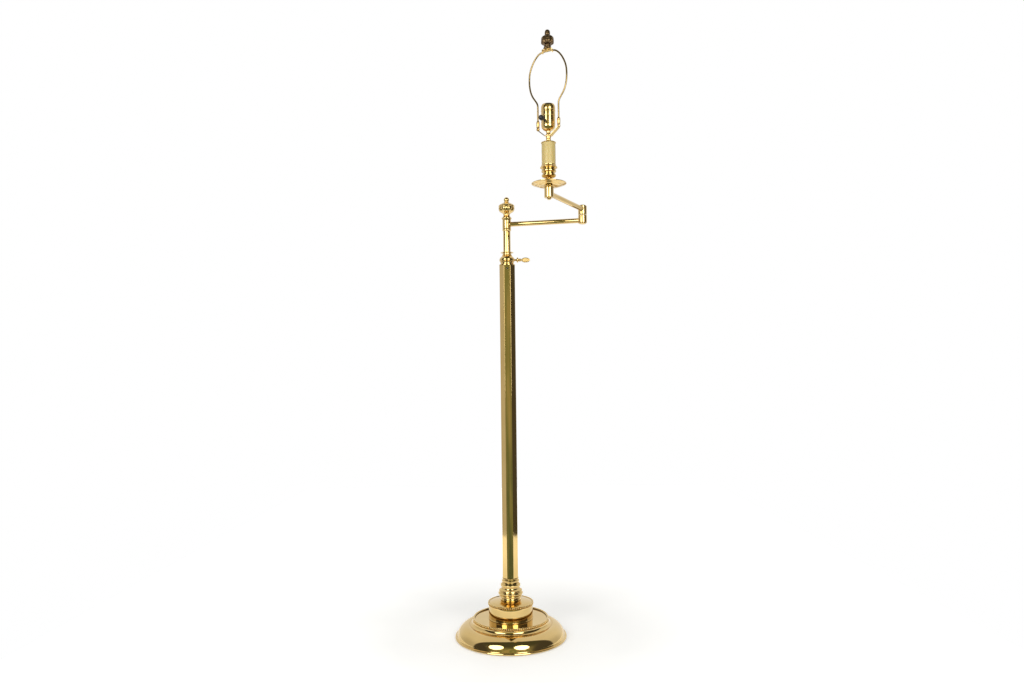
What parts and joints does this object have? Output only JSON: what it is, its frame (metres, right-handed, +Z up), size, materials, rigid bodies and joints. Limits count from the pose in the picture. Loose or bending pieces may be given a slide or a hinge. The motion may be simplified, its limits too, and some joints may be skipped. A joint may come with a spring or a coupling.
{
  "type": "adjustable arm floor lamp",
  "caption": "Polished brass floor lamp with a weighted stepped base, octagonal column, sliding pole, jointed swing arms, candle-style holder, bulb socket and harp.",
  "frame": {"origin": "centre of the felt's underside, on the floor, on the axis of the column", "axes": "+Z up along the column; +X towards the thumb screw; +Y towards the back, where the cord bushing is"},
  "size_m": [0.3524, 0.4002, 1.4929],
  "materials": {
    "polished_brass": "mirror-polished lacquered brass",
    "brass_screw": "bright brass screw",
    "antique_bronze": "dark antique bronze with rubbed high spots",
    "steel": "zinc-plated steel",
    "cast_iron": "rough grey casting",
    "candle_ivory": "ivory candle sleeve, satin",
    "black_plastic": "moulded black plastic",
    "nylon": "natural nylon",
    "felt": "pressed green felt",
    "fibre": "pressed paper fibre",
    "phenolic": "moulded phenolic",
    "wire_insulation": "black flexible wire insulation"
  },
  "bodies": {
    "stand": {"base_felt": "felt", "base_shell": "polished_brass", "base_weight": "cast_iron", "cord_bushing": "black_plastic", "base_bead_ring": "polished_brass", "tie_rod": "steel", "base_drum": "polished_brass", "drum_bead_ring": "polished_brass", "column_foot": "polished_brass", "column": "polished_brass", "column_plug": "steel", "pole_guide_bush": "nylon", "collar": "polished_brass", "collar_disc": "polished_brass", "column_set_screw": "steel"},
    "clamp_shoe": {"clamp_shoe": "polished_brass"},
    "thumb_screw": {"thumb_screw": "polished_brass"},
    "pole": {"pole": "polished_brass", "pole_foot_bush": "nylon", "swivel_ring_lower": "polished_brass", "swivel_spigot": "steel", "swivel_ring_upper": "polished_brass", "pole_finial": "polished_brass", "wire_pole": "wire_insulation"},
    "arm_1": {"arm_1_barrel": "polished_brass", "arm_1_tube": "polished_brass", "wire_arm_1": "wire_insulation", "elbow_lower_barrel": "polished_brass", "elbow_pin": "steel", "elbow_cap_lower": "polished_brass", "elbow_washer": "nylon"},
    "arm_2": {"elbow_upper_barrel": "polished_brass", "elbow_cap_upper": "polished_brass", "arm_2_tube": "polished_brass", "wire_arm_2": "wire_insulation", "post_barrel": "polished_brass", "post_screw": "polished_brass", "post_nipple": "steel", "dish": "polished_brass", "dish_neck": "polished_brass", "candle_cup": "polished_brass", "candle_sleeve": "candle_ivory", "candle_cap": "polished_brass", "socket_neck": "polished_brass", "harp_saddle": "polished_brass", "socket_cap": "polished_brass", "socket_shell": "polished_brass", "socket_liner": "fibre", "socket_body": "phenolic", "screw_shell": "polished_brass", "centre_contact": "polished_brass", "terminal_screw_hot": "brass_screw", "terminal_screw_neutral": "steel"},
    "switch_knob": {"switch_knob": "black_plastic"},
    "harp": {"harp_wire": "polished_brass", "harp_top_plate": "polished_brass", "harp_stud": "polished_brass"},
    "harp_sleeve_left": {"harp_sleeve_left": "polished_brass"},
    "harp_sleeve_right": {"harp_sleeve_right": "polished_brass"},
    "harp_finial": {"harp_finial": "antique_bronze"}
  },
  "joints": [
    {"name": "height_slide", "type": "slide", "parent": "stand", "child": "pole", "axis": [0, 0, 1], "range_m": [-0.05, 0.2]},
    {"name": "clamp_shoe_slide", "type": "slide", "parent": "stand", "child": "clamp_shoe", "axis": [1, 0, 0], "range_m": [0, 0.0021]},
    {"name": "thumb_screw_turn", "type": "hinge", "parent": "clamp_shoe", "child": "thumb_screw", "pos_m": [0.03, 0, 0.9871], "axis": [1, 0, 0], "range_deg": [0, 540]},
    {"name": "arm_1_swivel", "type": "hinge", "parent": "pole", "child": "arm_1", "pos_m": [0, 0, 1.08085], "axis": [0, 0, 1], "range_deg": [-165, 165]},
    {"name": "arm_2_swivel", "type": "hinge", "parent": "arm_1", "child": "arm_2", "pos_m": [0.19541, -0.04261, 1.0945], "axis": [0, 0, 1], "range_deg": [-48, 260]},
    {"name": "switch_turn", "type": "hinge", "parent": "arm_2", "child": "switch_knob", "pos_m": [0.08311, -0.24562, 1.2761], "axis": [-0.484, -0.875, 0], "continuous": true},
    {"name": "harp_lift", "type": "slide", "parent": "arm_2", "child": "harp", "axis": [0, 0, 1], "range_m": [0, 0.03]},
    {"name": "harp_sleeve_left_lift", "type": "slide", "parent": "harp", "child": "harp_sleeve_left", "axis": [0, 0, 1], "range_m": [0, 0.012]},
    {"name": "harp_sleeve_right_lift", "type": "slide", "parent": "harp", "child": "harp_sleeve_right", "axis": [0, 0, 1], "range_m": [0, 0.012]},
    {"name": "harp_finial_turn", "type": "hinge", "parent": "harp", "child": "harp_finial", "pos_m": [0.10102, -0.21324, 1.47], "axis": [0, 0, 1], "continuous": true}
  ],
  "couplings": [
    {"joint": "clamp_shoe_slide", "follows": "thumb_screw_turn", "m_per_rad": 0.000202}
  ]
}
